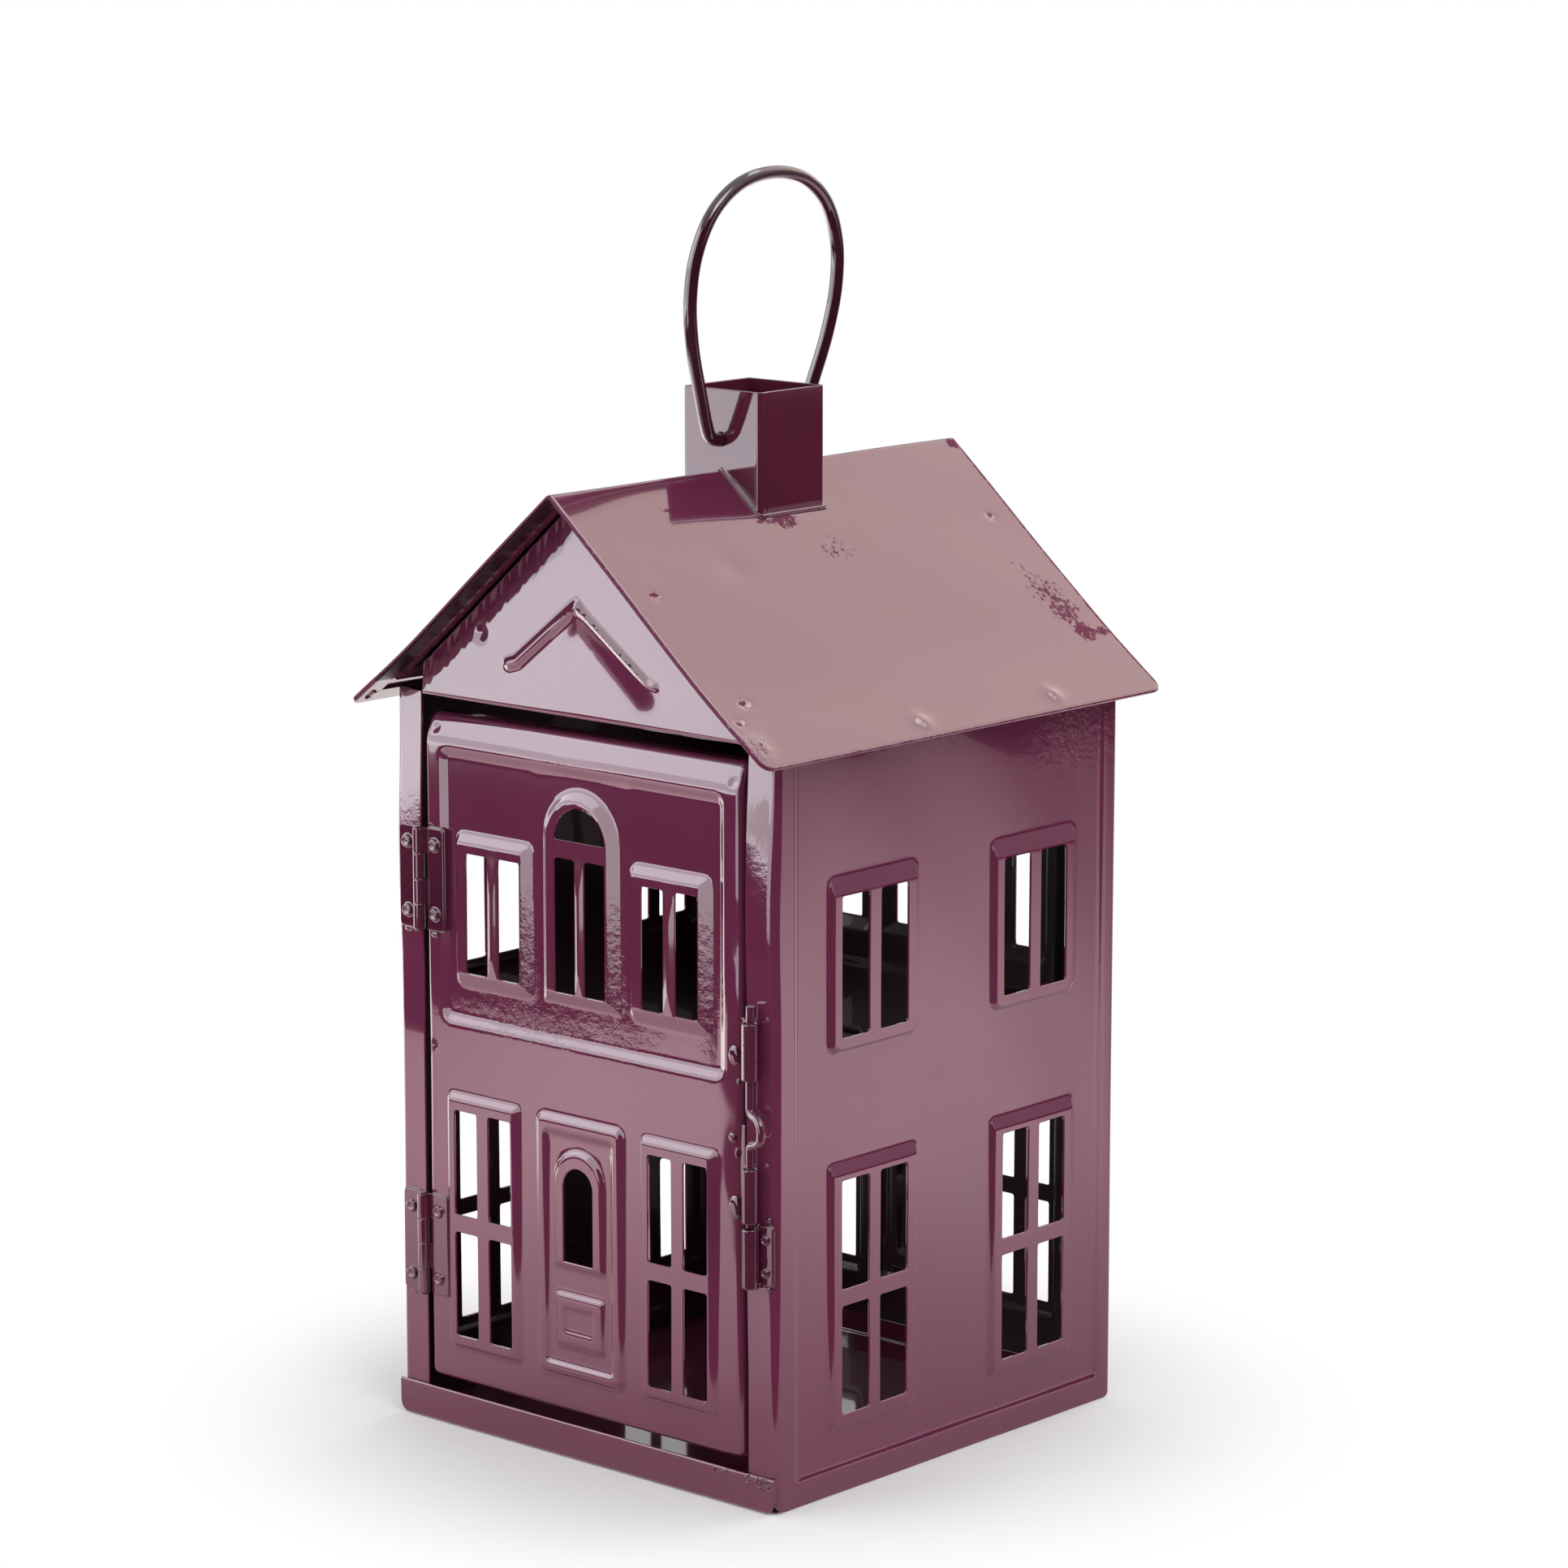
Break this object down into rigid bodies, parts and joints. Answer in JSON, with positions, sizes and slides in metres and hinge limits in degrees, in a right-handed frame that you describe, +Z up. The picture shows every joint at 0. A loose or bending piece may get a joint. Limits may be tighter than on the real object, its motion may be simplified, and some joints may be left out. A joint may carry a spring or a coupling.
{
  "type": "house-shaped candle lantern",
  "caption": "House-shaped enamelled tin lantern: hinged door with a sliding wire bolt, pressed windows, gabled roof, square flue and a swinging carrying wire",
  "frame": {"origin": "on the ground under the middle of the tray and of the roof's plan", "axes": "+X to the right along the front, +Y from the front to the back, +Z up; the door faces -Y"},
  "size_m": [0.124, 0.1332, 0.2807],
  "materials": {
    "enamel_sheet": "glossy plum enamel",
    "enamel_flue": "glossy plum enamel",
    "enamel_fittings": "glossy plum enamel, pooled at the edges",
    "enamel_rivets": "glossy plum enamel",
    "enamel_bolt": "glossy plum enamel",
    "enamel_wire": "glossy plum enamel"
  },
  "bodies": {
    "house": {"base_tray": "enamel_sheet", "right_wall": "enamel_sheet", "left_wall": "enamel_sheet", "back_panel": "enamel_sheet", "front_gable": "enamel_sheet", "back_gable": "enamel_sheet", "roof_sheet": "enamel_sheet", "flue_tube": "enamel_flue", "bolt_keeper": "enamel_fittings", "upper_hinge_frame_leaf": "enamel_fittings", "lower_hinge_frame_leaf": "enamel_fittings", "upper_hinge_pin": "enamel_fittings", "lower_hinge_pin": "enamel_fittings", "upper_hinge_frame_rivet_top": "enamel_rivets", "upper_hinge_frame_rivet_foot": "enamel_rivets", "lower_hinge_frame_rivet_top": "enamel_rivets", "lower_hinge_frame_rivet_foot": "enamel_rivets", "keeper_rivet_1": "enamel_rivets", "keeper_rivet_2": "enamel_rivets"},
    "door": {"door_panel": "enamel_sheet", "upper_hinge_door_leaf": "enamel_fittings", "lower_hinge_door_leaf": "enamel_fittings", "upper_bolt_guide": "enamel_fittings", "lower_bolt_guide": "enamel_fittings", "upper_hinge_door_rivet_top": "enamel_rivets", "upper_hinge_door_rivet_foot": "enamel_rivets", "lower_hinge_door_rivet_top": "enamel_rivets", "lower_hinge_door_rivet_foot": "enamel_rivets", "upper_guide_rivet_1": "enamel_rivets", "lower_guide_rivet_1": "enamel_rivets", "lower_guide_rivet_2": "enamel_rivets"},
    "latch_bolt": {"latch_bolt": "enamel_bolt"},
    "handle": {"carrying_wire": "enamel_wire"}
  },
  "joints": [
    {"name": "door_hinge", "type": "hinge", "parent": "house", "child": "door", "pos_m": [-0.0481, -0.0589, 0.0827], "axis": [0, 0, -1], "range_deg": [0, 170]},
    {"name": "bolt_slide", "type": "slide", "parent": "door", "child": "latch_bolt", "axis": [0, 0, 1], "range_m": [-0.0038, 0.006]},
    {"name": "handle_swing", "type": "hinge", "parent": "house", "child": "handle", "pos_m": [0, -0.0015, 0.2216], "axis": [0, 1, 0], "range_deg": [-135.6, 124.4]}
  ]
}
